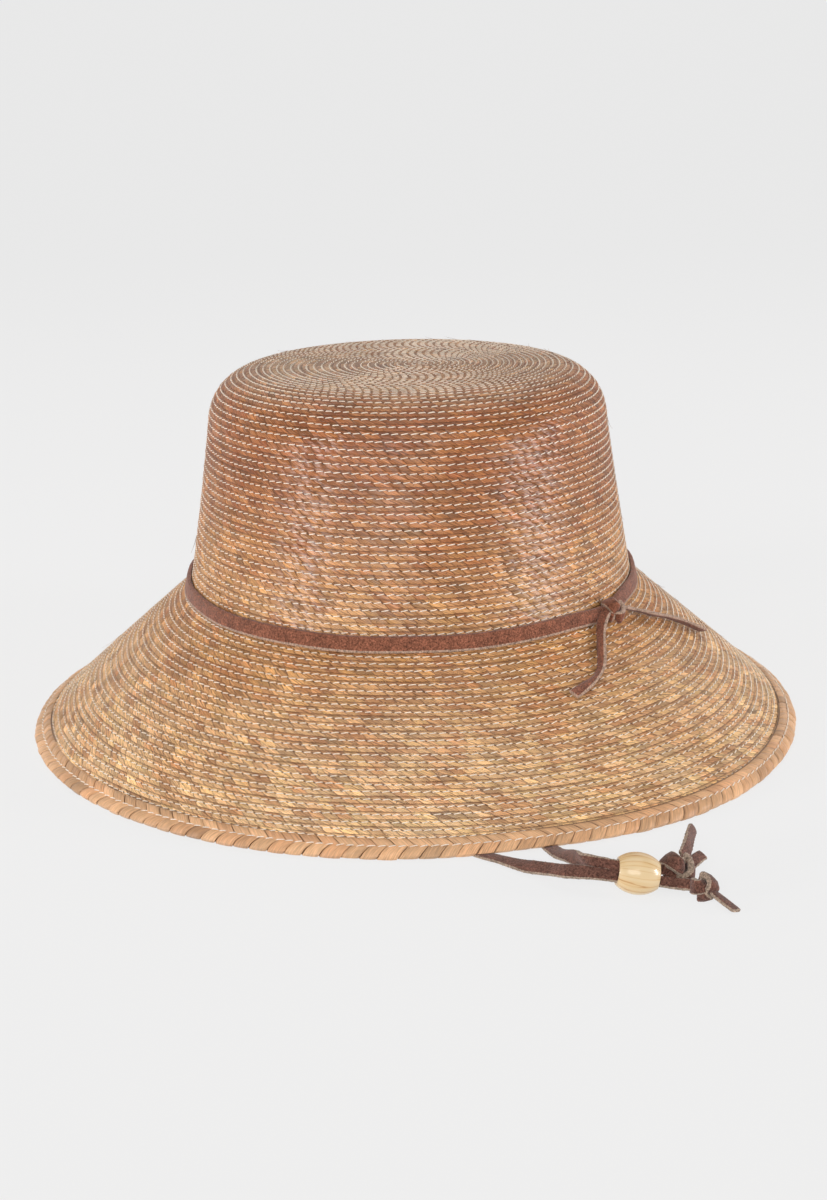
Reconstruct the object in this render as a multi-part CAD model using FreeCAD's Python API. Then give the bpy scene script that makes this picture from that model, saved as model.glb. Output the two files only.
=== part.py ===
"""Straw sun hat: a braided palm crown and brim, a leather hatband and a chin lace with a wooden bead.

Frame, in millimetres: the hat stands on its brim's rim on z = 0, with +Z up through the crown. The
origin is the centre of the rim, the wearer faces -Y and the wearer's left is +X. Every ring of the
hat is an ellipse, given by its half width along X, its half length along Y and its height.
"""

import FreeCAD, Part
import math
import os
from FreeCAD import Matrix, Rotation, Vector

os.makedirs("parts", exist_ok=True)

# ---- Driving dimensions -------------------------------------------------------------------------

# Crown: outside of the straw.
CROWN_BASE_X = 88.5  # half width where the crown meets the brim
OVAL = 1.15  # head oval: half length over half width
BASE_Z = 57.1  # height of the line where the crown meets the brim
CROWN_TOP_Z = 141.7
CROWN_TOP_X = 78.3  # half width of the wall just under the rounded top edge
TOP_ROUND = 20.0  # radius of the rounded top edge
ROUND_STEPS = 9  # rings that the rounded edge is drawn with
TIP_STEPS = 5  # of these, the ones that belong to the tip; the rest belong to the wall
WALL_FLARE = 0.12  # how much the wall bows in between its two ends
STRAW = 2.0  # thickness of the sewn braid, with its overlap

# Brim.
RIM_X = 154.2  # half width of the rim
RIM_Y = 155.6  # half length of the rim
BRIM_DROP = 2.8  # the braid's thickness measured straight down, because the brim slopes
EDGE_START = 0.886  # where the edge braid begins, as a share of the slope
EDGE_PROUD = 0.6  # how far the edge braid stands above and below the brim
RIM_ROUND = 1.6  # height of the rim's widest line
RIM_FLAT = 3.2  # width of the flat ring that the hat stands on
THREAD = 0.5  # thickness of the sewing thread
THREAD_WIDTH = 0.9

# Sweatband: a cloth band inside the crown, sewn along its lower edge.
SWEATBAND_TOP_Z = 84.0
SWEATBAND_SEAM = 4.0  # height of the sewn strip that lies against the straw
SWEATBAND_THICKNESS = 1.2
SWEATBAND_CLEAR = 0.5  # the free part stands this far off the straw

# Laces: flat leather, drawn as round tubes.
LACE_WIDTH = 4.8
LACE_THICKNESS = 1.6
LACE_TUBE = 2.4  # diameter of the tube that stands for the flat lace
RUN_SHARE = 0.45  # share of the shorter run that an arc takes on each side of its point

# Hatband: a lace round the foot of the crown, its lower edge spread over the start of the brim.
BAND_GAP = 0.4  # clearance between the band's upper edge and the straw
BAND_TOP_Z = 61.3
BAND_SPREAD = 1.0  # the lower edge stands this far out from the crown's foot
BAND_DIP = 0.35  # height of the lower edge's inner corner under the crown's foot
BAND_SLANT = 1.05  # the outer corner is this much lower than the inner one
KNOT_ANGLE = -37.0  # place of the hatband's knot on the oval, in degrees from +X
KNOT_LONG = 5.6  # half length of the hatband's knot along the band
KNOT_HIGH = 3.6
KNOT_DEEP = 3.4
KNOT_OUT = 1.0  # the knot's inner side stands this far off the band's inner side
KNOT_CLEAR = 5.35  # height of the knot's centre over the brim

# Bead on the two chin laces.
BEAD_CENTRE = Vector(69.3, -182.3, 7.1)
BEAD_AXIS = Vector(0.985, 0.02, -0.165).normalize()  # from the hat towards the stopper knots
BEAD_LENGTH = 14.0
BEAD_RADIUS = 6.9
BEAD_END_RADIUS = 4.6
BEAD_HOLE = 3.6
LACE_OFFSET = 1.4  # each lace runs this far to one side of the bead's axis
LEAD_IN = 11.0  # straight stretch of lace before the bead
LEAD_OUT = 0.8  # and after it

# Anchors inside the crown, one at each side of the head.
ANCHOR_X = 84.6
TAB_LENGTH = 16.0
TAB_WIDTH = 9.0
TAB_THICKNESS = 1.4
TAB_TOP_Z = 58.0
ANCHOR_KNOT_RADIUS = 3.4
ANCHOR_KNOT_Z = 46.0

# The rim arches a little where the two laces pass under it.
ARCH_HEIGHT = 3.4
ARCH_WIDTH = 78.0
ARCH_ANGLE = -79.0  # direction of the arch from the hat's centre, in degrees from +X


# ---- Rings and closed shells --------------------------------------------------------------------


def ellipse_edge(ring):
    """The full ellipse of a ring (half width, half length, height)."""
    half_width, half_length, z = ring
    curve = Part.Ellipse(Vector(0, half_length, z), Vector(half_width, 0, z), Vector(0, 0, z))
    return curve.toShape()


def face_between(low, high):
    """A flat ring between two ellipses at one height, or the ruled wall between two heights."""
    if abs(low[2] - high[2]) < 1e-9:
        wires = [Part.Wire(ellipse_edge(low)), Part.Wire(ellipse_edge(high))]
        return Part.makeFace(wires, "Part::FaceMakerBullseye")
    return Part.makeRuledSurface(ellipse_edge(low), ellipse_edge(high))


def close_shell(faces):
    shell = Part.Shell(faces)
    shell.sewShape()
    solid = Part.Solid(shell)
    if solid.Volume < 0:
        solid.reverse()
    return solid


def ring_solid(section):
    """The closed ring whose cross-section has these corners, in order."""
    pairs = zip(section, section[1:] + section[:1])
    return close_shell([face_between(low, high) for low, high in pairs])


def cap_solid(section):
    """A closed cap over the middle: the section runs from the top disc round to the lower disc."""
    faces = [face_between(low, high) for low, high in zip(section, section[1:])]
    for ring in (section[0], section[-1]):
        faces.append(Part.Face(Part.Wire(ellipse_edge(ring))))
    return close_shell(faces)


# ---- The hat's form -----------------------------------------------------------------------------

WALL_TOP_Z = CROWN_TOP_Z - TOP_ROUND


def wall_ring(z, inset=0.0):
    """A ring of the crown's wall at height z, pulled in from the outside by inset."""
    share = (z - WALL_TOP_Z) / (BASE_Z - WALL_TOP_Z)
    spread = share + WALL_FLARE * share * (share - 1)
    half_width = CROWN_TOP_X + (CROWN_BASE_X - CROWN_TOP_X) * spread
    return (half_width - inset, OVAL * half_width - inset, z)


def top_round_rings(inset):
    """The rounded top edge, from the flat top down to the wall."""
    rings = []
    for i in range(ROUND_STEPS + 1):
        angle = math.pi / 2 * i / ROUND_STEPS
        reach = (TOP_ROUND - inset) * math.sin(angle)
        rise = (TOP_ROUND - inset) * math.cos(angle)
        half_width = CROWN_TOP_X - TOP_ROUND + reach
        half_length = OVAL * (CROWN_TOP_X - TOP_ROUND) + (OVAL * TOP_ROUND - inset) * math.sin(angle)
        rings.append((half_width, half_length, WALL_TOP_Z + rise))
    return rings


def brim_ring(share, lift=0.0):
    """A ring of the brim's upper side, from 0 at the crown to 1 at the rim, lifted straight up."""
    half_width = CROWN_BASE_X + (RIM_X - CROWN_BASE_X) * share
    half_length = OVAL * CROWN_BASE_X + (RIM_Y - OVAL * CROWN_BASE_X) * share
    return (half_width, half_length, BASE_Z * (1 - share) + lift)


def brim_height(x, y):
    """Height of the brim's upper side over a point of the plan."""
    low, high = 0.0, 1.0
    for _ in range(40):
        middle = (low + high) / 2
        half_width, half_length, _z = brim_ring(middle)
        if (x / half_width) ** 2 + (y / half_length) ** 2 > 1:
            low = middle
        else:
            high = middle
    return brim_ring(low)[2]


def over_brim(x, y, clear):
    """A point of a route that runs over the brim, clear above it."""
    return Vector(x, y, brim_height(x, y) + clear)


# ---- Straw --------------------------------------------------------------------------------------


def crown_tip():
    """The flat top with the upper part of the rounded edge."""
    outside = top_round_rings(0.0)[: TIP_STEPS + 1]
    inside = top_round_rings(STRAW)[: TIP_STEPS + 1]
    return cap_solid(outside + inside[::-1])


def crown_wall():
    """The wall with the lower part of the rounded edge."""
    heights = [102.0, SWEATBAND_TOP_Z, 70.0, BASE_Z + SWEATBAND_SEAM, BASE_Z]
    outside = top_round_rings(0.0)[TIP_STEPS:] + [wall_ring(z) for z in heights]
    inside = top_round_rings(STRAW)[TIP_STEPS:] + [wall_ring(z, STRAW) for z in heights]
    return ring_solid(outside + inside[::-1])


def brim():
    foot_width, foot_length, foot_z = wall_ring(BASE_Z, STRAW)
    section = [
        brim_ring(0.0),
        brim_ring(EDGE_START),
        brim_ring(EDGE_START, -BRIM_DROP),
        (foot_width, foot_length, foot_z - 1.0),
        (foot_width, foot_length, foot_z),
    ]
    return ring_solid(section)


def edge_braid():
    """The wide braid round the rim, with the flat ring that the hat stands on."""
    section = [
        brim_ring(EDGE_START, EDGE_PROUD),
        (RIM_X - 1.0, RIM_Y - 1.0, 2 * RIM_ROUND),
        (RIM_X, RIM_Y, RIM_ROUND),
        (RIM_X - 0.6, RIM_Y - 0.6, 0.0),
        (RIM_X - 0.6 - RIM_FLAT, RIM_Y - 0.6 - RIM_FLAT, 0.0),
        brim_ring(EDGE_START, -BRIM_DROP - EDGE_PROUD),
    ]
    radius = (ARCH_WIDTH**2 / 4 + ARCH_HEIGHT**2) / (2 * ARCH_HEIGHT)
    direction = Vector(math.cos(math.radians(ARCH_ANGLE)), math.sin(math.radians(ARCH_ANGLE)), 0)
    centre = direction * (RIM_X / 2) + Vector(0, 0, ARCH_HEIGHT - radius)
    arch = Part.makeCylinder(radius, RIM_X, centre, direction)
    return ring_solid(section).cut(arch)


def edge_thread():
    """The line of stitches along the middle of the edge braid, as one thin ring."""
    start = brim_ring(EDGE_START, EDGE_PROUD)
    end = (RIM_X - 1.0, RIM_Y - 1.0, 2 * RIM_ROUND)

    def at(share, lift):
        return tuple(a + (b - a) * share for a, b in zip(start[:2], end[:2])) + (
            start[2] + (end[2] - start[2]) * share + lift,
        )

    half = THREAD_WIDTH / 2 / math.dist(start, end)
    middle = 0.5
    return ring_solid(
        [
            at(middle - half, 0.0),
            at(middle - half, THREAD),
            at(middle + half, THREAD),
            at(middle + half, 0.0),
        ]
    )


def sweatband():
    """A cloth band: its lower strip lies on the straw and the rest stands a little clear of it."""
    seam_top = BASE_Z + SWEATBAND_SEAM
    free = STRAW + SWEATBAND_CLEAR
    section = [
        wall_ring(BASE_Z, STRAW),
        wall_ring(seam_top, STRAW),
        wall_ring(seam_top + 2.0, free),
        wall_ring(SWEATBAND_TOP_Z, free),
        wall_ring(SWEATBAND_TOP_Z, free + SWEATBAND_THICKNESS),
        wall_ring(seam_top + 2.0, free + SWEATBAND_THICKNESS),
        wall_ring(seam_top, STRAW + SWEATBAND_THICKNESS),
        wall_ring(BASE_Z, STRAW + SWEATBAND_THICKNESS),
    ]
    return ring_solid(section)


# ---- Lace tubes ---------------------------------------------------------------------------------


def rounded_route(points):
    """A wire of straight runs joined by the largest tangent arcs that the runs allow."""
    edges = []
    radii = []
    start = points[0]
    for before, corner, after in zip(points, points[1:], points[2:]):
        back = (before - corner).normalize()
        ahead = (after - corner).normalize()
        reach = RUN_SHARE * min((before - corner).Length, (after - corner).Length)
        half_turn = (math.pi - back.getAngle(ahead)) / 2
        radius = reach / math.tan(half_turn)
        inward = (back + ahead).normalize()
        middle = corner + inward * (radius / math.cos(half_turn) - radius)
        enter = corner + back * reach
        leave = corner + ahead * reach
        edges.append(Part.LineSegment(start, enter).toShape())
        edges.append(Part.Arc(enter, middle, leave).toShape())
        radii.append(radius)
        start = leave
    edges.append(Part.LineSegment(start, points[-1]).toShape())
    return Part.Wire(edges), radii


def lace_tube(name, points):
    """The round tube along a route, with its smallest radius and its volume printed as a check."""
    wire, radii = rounded_route(points)
    heading = (points[1] - points[0]).normalize()
    circle = Part.Wire(Part.makeCircle(LACE_TUBE / 2, points[0], heading))
    tube = wire.makePipeShell([circle], True, False)
    expected = math.pi * LACE_TUBE**2 / 4 * wire.Length
    print(
        f"{name}: length {wire.Length:.1f}, volume / expected {tube.Volume / expected:.4f}, "
        f"radii {[round(r, 1) for r in radii]}"
    )
    return tube


def ellipsoid(centre, half_sizes, turn):
    """A ball stretched to three half sizes, then turned and put in place."""
    stretch = Matrix()
    stretch.scale(Vector(*half_sizes))
    ball = Part.makeSphere(1.0).transformGeometry(stretch)
    ball.Placement = FreeCAD.Placement(centre, turn)
    return ball


# ---- Hatband ------------------------------------------------------------------------------------


def hatband():
    """The flat lace round the crown's foot, on its edge and leaning against the crown."""
    foot_width, foot_length, foot_z = wall_ring(BASE_Z)
    outer = BAND_SPREAD + LACE_THICKNESS
    low = foot_z - BAND_DIP
    section = [
        (foot_width + BAND_SPREAD, foot_length + BAND_SPREAD, low),
        wall_ring(BAND_TOP_Z, -BAND_GAP),
        wall_ring(BAND_TOP_Z, -BAND_GAP - LACE_THICKNESS),
        (foot_width + outer, foot_length + outer, low - BAND_SLANT),
    ]
    return ring_solid(section)


def hatband_knot():
    """The overhand knot that ties the hatband, as one rounded lump on the outside of the band."""
    angle = math.radians(KNOT_ANGLE)
    half_width, half_length, _z = wall_ring(BASE_Z, -BAND_GAP)
    outward = Vector(math.cos(angle) / half_width, math.sin(angle) / half_length, 0).normalize()
    foot = Vector(half_width * math.cos(angle), half_length * math.sin(angle), 0)
    turn = Rotation(Vector(0, 0, 1), math.degrees(math.atan2(outward.y, outward.x)))
    plan = foot + outward * (KNOT_OUT + KNOT_DEEP)
    centre = over_brim(plan.x, plan.y, KNOT_CLEAR)
    return ellipsoid(centre, (KNOT_DEEP, KNOT_LONG, KNOT_HIGH), turn)


def hatband_tails():
    """The two loose ends of the hatband, lying on the brim."""
    front = [
        over_brim(72.4, -65.6, 5.6),
        over_brim(69.6, -71.2, 4.2),
        over_brim(68.6, -79.0, 3.2),
        over_brim(68.0, -89.5, 2.9),
        over_brim(62.5, -97.5, 2.9),
        over_brim(56.5, -103.5, 2.9),
    ]
    side = [
        over_brim(77.6, -59.6, 5.6),
        over_brim(85.0, -50.5, 3.6),
        over_brim(94.0, -41.5, 3.0),
        over_brim(101.5, -32.0, 2.9),
        over_brim(109.5, -24.5, 2.9),
        over_brim(116.0, -17.5, 2.9),
    ]
    return {"hatband_tail_front": front, "hatband_tail_side": side}


# ---- Chin laces, bead and knots -----------------------------------------------------------------

BEAD_SIDE = BEAD_AXIS.cross(Vector(0, 0, 1)).normalize()  # level, square to the bead's axis


def beside_bead(along, side):
    """A point at a distance along the bead's axis, on one of the two laces (side is 1 or -1)."""
    return BEAD_CENTRE + BEAD_AXIS * along + BEAD_SIDE * (side * LACE_OFFSET)


def chin_lace_routes():
    """Both laces, from the anchor inside the crown, under the rim and through the bead."""
    lead_in = -BEAD_LENGTH / 2 - LEAD_IN
    lead_out = BEAD_LENGTH / 2 + LEAD_OUT
    left = [
        Vector(-80.5, -3.6, 44.5),
        Vector(-80.0, -6.0, 26.0),
        Vector(-76.0, -10.0, 10.0),
        Vector(-64.0, -17.0, 1.3),
        Vector(-43.0, -33.0, 1.3),
        Vector(-33.0, -61.0, 1.3),
        Vector(-8.0, -82.0, 1.3),
        Vector(-3.0, -112.0, 1.3),
        Vector(7.0, -140.0, 1.3),
        Vector(22.0, -158.0, 1.3),
        Vector(37.0, -171.0, 2.6),
        beside_bead(lead_in, 1),
        beside_bead(lead_out, 1),
        Vector(88.6, -186.0, 4.0),
    ]
    right = [
        Vector(80.5, -3.6, 44.5),
        Vector(80.0, -6.0, 26.0),
        Vector(75.0, -10.0, 10.0),
        Vector(62.0, -15.0, 1.3),
        Vector(37.0, -17.0, 1.3),
        Vector(13.0, -31.0, 1.3),
        Vector(8.0, -60.0, 1.3),
        Vector(27.0, -83.0, 1.3),
        Vector(36.0, -109.0, 1.3),
        Vector(33.0, -135.0, 1.3),
        Vector(42.0, -153.0, 1.3),
        Vector(46.5, -168.0, 5.0),
        beside_bead(lead_in, -1),
        beside_bead(lead_out, -1),
        Vector(86.0, -175.2, 5.7),
    ]
    return {"chin_lace_left": left, "chin_lace_right": right}


def bead():
    """A turned wooden barrel with a round hole along its axis."""
    half = BEAD_LENGTH / 2
    outline = Part.Arc(
        Vector(BEAD_END_RADIUS, 0, -half), Vector(BEAD_RADIUS, 0, 0), Vector(BEAD_END_RADIUS, 0, half)
    ).toShape()
    corners = [
        Vector(BEAD_END_RADIUS, 0, half),
        Vector(BEAD_HOLE, 0, half),
        Vector(BEAD_HOLE, 0, -half),
        Vector(BEAD_END_RADIUS, 0, -half),
    ]
    sides = [Part.LineSegment(a, b).toShape() for a, b in zip(corners, corners[1:])]
    profile = Part.Face(Part.Wire([outline] + sides))
    barrel = profile.revolve(Vector(0, 0, 0), Vector(0, 0, 1), 360)
    barrel.Placement = FreeCAD.Placement(BEAD_CENTRE, Rotation(Vector(0, 0, 1), BEAD_AXIS))
    return barrel


def stopper_knots():
    """The overhand knots that keep the bead on the laces."""
    return {
        "stopper_knot_right": ellipsoid(Vector(82.6, -177.2, 5.6), (5.2, 4.9, 5.3), Rotation()),
        "stopper_knot_left": ellipsoid(
            Vector(89.6, -186.6, 3.9), (4.3, 3.6, 3.7), Rotation(Vector(0, 0, 1), -35)
        ),
    }


def stopper_tail_routes():
    """The short cut ends of lace that stick out of the stopper knots."""
    return {
        "stopper_tail_long": [
            Vector(85.0, -173.6, 8.2),
            Vector(88.0, -166.0, 9.4),
            Vector(89.5, -158.5, 9.4),
            Vector(91.5, -151.5, 8.4),
        ],
        "stopper_tail_short": [
            Vector(86.6, -174.6, 5.4),
            Vector(89.0, -170.5, 5.9),
            Vector(92.4, -166.6, 5.6),
        ],
        "stopper_tail_end": [
            Vector(92.2, -189.0, 3.2),
            Vector(95.0, -193.4, 1.9),
            Vector(97.6, -198.0, 1.3),
        ],
    }


def anchor_tab(side):
    """A cloth tab under the sweatband's lower edge, with a hole that the chin lace is tied through."""
    centre = Vector(side * ANCHOR_X, 0, TAB_TOP_Z - TAB_LENGTH / 2)
    tab = Part.makeBox(
        TAB_THICKNESS,
        TAB_WIDTH,
        TAB_LENGTH,
        centre - Vector(TAB_THICKNESS / 2, TAB_WIDTH / 2, TAB_LENGTH / 2),
    )
    hole = Part.makeCylinder(
        LACE_TUBE / 2, 4 * TAB_THICKNESS, Vector(centre.x - 2 * TAB_THICKNESS, 0, ANCHOR_KNOT_Z), Vector(1, 0, 0)
    )
    return tab.cut(hole)


def anchor_knot(side):
    centre = Vector(side * (ANCHOR_X - ANCHOR_KNOT_RADIUS), 0, ANCHOR_KNOT_Z)
    half_sizes = (ANCHOR_KNOT_RADIUS, 4.2, 4.0)
    return ellipsoid(centre, half_sizes, Rotation())


# ---- All sub-parts ------------------------------------------------------------------------------

solids = {
    "crown_tip": crown_tip(),
    "crown_wall": crown_wall(),
    "brim": brim(),
    "edge_braid": edge_braid(),
    "edge_thread": edge_thread(),
    "sweatband": sweatband(),
    "hatband": hatband(),
    "hatband_knot": hatband_knot(),
    "bead": bead(),
}
solids.update(stopper_knots())
for side_name, side in (("left", -1), ("right", 1)):
    solids["anchor_tab_" + side_name] = anchor_tab(side)
    solids["anchor_knot_" + side_name] = anchor_knot(side)
for routes in (hatband_tails(), chin_lace_routes(), stopper_tail_routes()):
    for name, points in routes.items():
        solids[name] = lace_tube(name, points)

for name, solid in solids.items():
    solid.exportStep(f"parts/{name}.step")
    box = solid.BoundBox
    print(
        f"{name:20s} valid {solid.isValid()} solids {len(solid.Solids)} volume {solid.Volume / 1000:.2f} cm3 "
        f"z {box.ZMin:.2f} to {box.ZMax:.2f}"
    )
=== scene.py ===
"""Looks of the straw sun hat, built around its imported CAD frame.

Units are metres, in the CAD frame: the rim rests on z = 0, the wearer faces -Y, the wearer's left is +X.
The braid is one ribbon wound in a spiral from the middle of the tip to the rim. A place on it is given by
along (metres of ribbon from its start), across (metres from its hidden upper edge) and out (metres off the
hat's outer side). The same three numbers place the stitches and the stray fibres.
"""

import math

import bpy
import numpy as np
from mathutils import Matrix, Vector


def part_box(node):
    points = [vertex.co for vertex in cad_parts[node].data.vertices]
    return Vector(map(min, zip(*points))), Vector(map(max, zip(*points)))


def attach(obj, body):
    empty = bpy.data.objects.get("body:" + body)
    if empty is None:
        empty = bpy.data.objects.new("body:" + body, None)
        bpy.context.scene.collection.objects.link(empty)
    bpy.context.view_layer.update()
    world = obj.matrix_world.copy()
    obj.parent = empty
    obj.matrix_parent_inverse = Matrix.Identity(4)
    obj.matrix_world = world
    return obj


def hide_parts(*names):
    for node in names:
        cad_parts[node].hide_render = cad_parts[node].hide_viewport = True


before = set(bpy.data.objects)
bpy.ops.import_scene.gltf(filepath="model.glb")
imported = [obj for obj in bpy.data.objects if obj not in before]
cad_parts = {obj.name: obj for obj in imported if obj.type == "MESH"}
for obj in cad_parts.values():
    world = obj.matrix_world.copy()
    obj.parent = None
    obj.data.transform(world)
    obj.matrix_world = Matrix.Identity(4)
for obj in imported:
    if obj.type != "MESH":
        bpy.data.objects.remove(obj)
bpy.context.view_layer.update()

MM = 0.001

# ---- Sizes that come from the frame ----

wall_low, wall_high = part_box("crown_wall")
CROWN_BASE_X, CROWN_BASE_Y, BASE_Z = wall_high.x, wall_high.y, wall_low.z
RIM_X, RIM_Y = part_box("edge_braid")[1][:2]
CROWN_TOP_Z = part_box("crown_tip")[1].z

# ---- Sizes that the frame doesn't say ----

CROWN_TOP_X = 78.3 * MM  # half width of the wall just under the rounded top edge
TOP_ROUND = 20.0 * MM  # radius of that edge
WALL_FLARE = 0.12  # how strongly the wall curves outwards towards its foot
EDGE_START = 0.886  # where the edge braid begins, as a share of the brim's slope

ROW = 2.8 * MM  # what shows of each turn of the braid
BRAID_WIDTH = 4.7 * MM
HIDDEN = BRAID_WIDTH - ROW  # the upper part, under the turn above
BRAID_THICK = 0.62 * MM  # from its outer to its inner side
BRAID_DEPTH = 0.48 * MM  # how much deeper the hidden upper edge lies than the lower edge
FACET = (4.0 * MM, 6.4 * MM)  # shortest and longest strand facet
FACET_SLANT = 1.15  # how far a facet's ends lean along the row, for each metre across it
FACET_VALLEY, VALLEY_REACH = 0.13 * MM, 0.30 * MM  # depth and half width of the dip between two facets
FACET_LIFT, FACET_TILT = 0.05 * MM, 0.03 * MM  # how unevenly the facets lie
WOBBLE, WOBBLE_STEP = 0.20 * MM, 30.0 * MM  # how far a row's lower edge wanders, and over what length
STITCH_ACROSS = HIDDEN + 1.0 * MM  # the stitches' line
STITCH_PITCH, STITCH_LENGTH = 3.45 * MM, 3.1 * MM
HOLE_RADIUS, THREAD_RADIUS = 0.44 * MM, 0.21 * MM
GROOVE_DEPTH, GROOVE_REACH = 0.10 * MM, 0.45 * MM  # the thread pulls a groove into the braid
STRANDS = 7  # strands in the braid: a strand shows again every seventh facet

LACE_WIDTH = 4.8 * MM
LACE_THICK = 1.6 * MM
LACE_STEP = 0.6 * MM  # between two sections of a lace


def wall_half(z):
    """Half width of the crown's outer side at a height."""
    wall_top = CROWN_TOP_Z - TOP_ROUND
    share = (z - wall_top) / (BASE_Z - wall_top)
    return CROWN_TOP_X + (CROWN_BASE_X - CROWN_TOP_X) * (share + WALL_FLARE * share * (share - 1))


def brim_oval(share):
    """Half width and half length of the brim, at a share of its slope from the crown to the rim."""
    half = CROWN_BASE_X + (RIM_X - CROWN_BASE_X) * share
    return half, CROWN_BASE_Y + (RIM_Y - CROWN_BASE_Y) * share


# ---- Camera ----


def make_camera():
    camera = bpy.data.objects.new("camera", bpy.data.cameras.new("camera"))
    camera.data.sensor_width = 36.0
    camera.data.lens = 53.06
    camera.data.clip_start = 0.01
    pitch_down, roll = math.radians(16.283), math.radians(1.26)
    place = Matrix.Translation((0.8 * MM, -691.6 * MM, 247.0 * MM))
    turn = Matrix.Rotation(math.pi / 2 - pitch_down, 4, "X") @ Matrix.Rotation(-roll, 4, "Z")
    camera.matrix_world = place @ turn
    bpy.context.scene.collection.objects.link(camera)
    bpy.context.scene.camera = camera


make_camera()


# ---- Mesh helpers ----


def new_mesh(name, points, faces, material=None):
    mesh = bpy.data.meshes.new(name)
    mesh.from_pydata([tuple(p) for p in points], [], faces)
    mesh.polygons.foreach_set("use_smooth", [True] * len(mesh.polygons))
    if material is not None:
        mesh.materials.append(material)
    mesh.update()
    piece = bpy.data.objects.new(name, mesh)
    bpy.context.scene.collection.objects.link(piece)
    return piece


def grid_faces(columns, rows, close_rows=True):
    """Quads of a grid whose points are stored column by column."""
    column = np.arange(columns - 1)[:, None] * rows
    row = np.arange(rows if close_rows else rows - 1)[None, :]
    after = (row + 1) % rows
    corners = [column + row, column + rows + row, column + rows + after, column + after]
    return np.stack(corners, axis=-1).reshape(-1, 4)


def ring_faces(columns, rows):
    """Quads of a closed ring, such as a band or a bead, whose section is closed too."""
    return grid_faces(columns + 1, rows) % (columns * rows)


def tube_faces(columns, rows):
    """Faces of a closed tube of columns sections, with a cap at each end."""
    last = (columns - 1) * rows
    caps = [list(range(rows)), list(range(last, last + rows))[::-1]]
    return grid_faces(columns, rows).tolist() + caps


def many_tubes(count, columns, rows):
    """Sides and caps of count equal tubes whose points are stored one tube after another."""
    offsets = np.arange(count)[:, None, None] * columns * rows
    sides = grid_faces(columns, rows)[None] + offsets
    caps = np.stack([np.arange(rows), columns * rows - 1 - np.arange(rows)])[None] + offsets
    return sides.reshape(-1, 4).tolist(), caps.reshape(-1, rows).tolist()


def set_values(piece, **values):
    """Attributes that the materials read: one value for each face, or one for each point."""
    for name, value in values.items():
        kind = "FLOAT_VECTOR" if name in ("strand", "grain") else "FLOAT"
        domain = "FACE" if name in ("tone", "hue", "cut") else "POINT"
        field = "vector" if kind == "FLOAT_VECTOR" else "value"
        attribute = piece.data.attributes.new(name, kind, domain)
        attribute.data.foreach_set(field, np.asarray(value, np.float32).ravel())


# ---- Cords: routes ----


def cord_line(route):
    """Even points along one open NURBS curve that has the route's points as its control points."""
    curve = bpy.data.curves.new("cord line", "CURVE")
    curve.dimensions = "3D"
    spline = curve.splines.new("NURBS")
    spline.points.add(len(route) - 1)
    for control, place in zip(spline.points, route):
        control.co = (*(Vector(place) * MM), 1.0)
    spline.order_u = 3
    spline.use_endpoint_u = True
    spline.resolution_u = 32
    holder = bpy.data.objects.new("cord line", curve)
    bpy.context.scene.collection.objects.link(holder)
    mesh = bpy.data.meshes.new_from_object(holder)
    points = np.array([v.co[:] for v in mesh.vertices])
    bpy.data.objects.remove(holder)
    bpy.data.meshes.remove(mesh)
    walked = np.concatenate([[0], np.cumsum(np.linalg.norm(np.diff(points, axis=0), axis=1))])
    even = np.linspace(0, walked[-1], max(8, round(walked[-1] / LACE_STEP)))
    return np.stack([np.interp(even, walked, points[:, i]) for i in range(3)], axis=1)


def angles(count):
    """Angles evenly round a full turn."""
    return np.linspace(0, math.tau, count, endpoint=False)


def unit(vectors):
    return vectors / (np.linalg.norm(vectors, axis=-1, keepdims=True) + 1e-12)


def band_section(width, thick):
    """Corners of a flat lace's section, as (across, out) pairs, and which sides are cut edges."""
    half, up = width / 2, thick / 2
    sides = np.linspace(-1, 1, 7)
    bow = 0.10 * thick * (1 - sides**2)
    top = np.stack([sides * (half - 0.12 * thick), up + bow - 0.10 * thick], axis=1)
    right = np.array([[half, 0.55 * up], [half + 0.05 * thick, 0.0], [half, -0.55 * up]])
    section = np.concatenate([top, right, -top, -right])
    cut = np.zeros(len(section))
    cut[6:10] = 1.0
    cut[16:20] = 1.0
    return section, cut


def swept(line, heading, flat, across, out):
    """A section carried along a line: across its heading, and out the way that its flat side faces."""
    flat = unit(flat - heading * (flat * heading).sum(axis=1, keepdims=True))
    side = np.cross(heading, flat)
    return line[:, None] + side[:, None] * across[..., None] + flat[:, None] * out[..., None]


def unchanged(share):
    """Width or thickness of a lace that is the same all along."""
    return np.ones(len(share))


def lace_strip(
    name, line, up, seed, width=LACE_WIDTH, thick=LACE_THICK, widths=unchanged, thicks=unchanged
):
    """A flat lace along a line. up holds (share of the length, direction of its flat side) pairs."""
    count = len(line)
    share = np.linspace(0, 1, count)
    heading = unit(np.gradient(line, axis=0))
    stations = np.array([s for s, _ in up])
    directions = np.array([Vector(d).normalized()[:] for _, d in up])
    flat = np.stack([np.interp(share, stations, directions[:, i]) for i in range(3)], axis=1)
    section, cut = band_section(width, thick)
    rows = len(section)
    rng = np.random.default_rng(seed)
    rough = rng.normal(0, 0.05 * MM, (count, rows)) * (0.4 + cut[None, :])
    rough += 0.12 * MM * np.sin(share[:, None] * count * 0.21 + section[None, :, 0] * 400)
    x, y = section.T[:, None]
    across = x * widths(share)[:, None] + rough * np.sign(x) * cut
    out = y * thicks(share)[:, None] + rough * (1 - cut) * np.sign(y)
    points = swept(line, heading, flat, across, out)
    piece = new_mesh(name, points.reshape(-1, 3), tube_faces(count, rows))
    set_values(piece, cut=np.append(np.tile(cut, count - 1), [1, 1]))
    return piece


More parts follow.
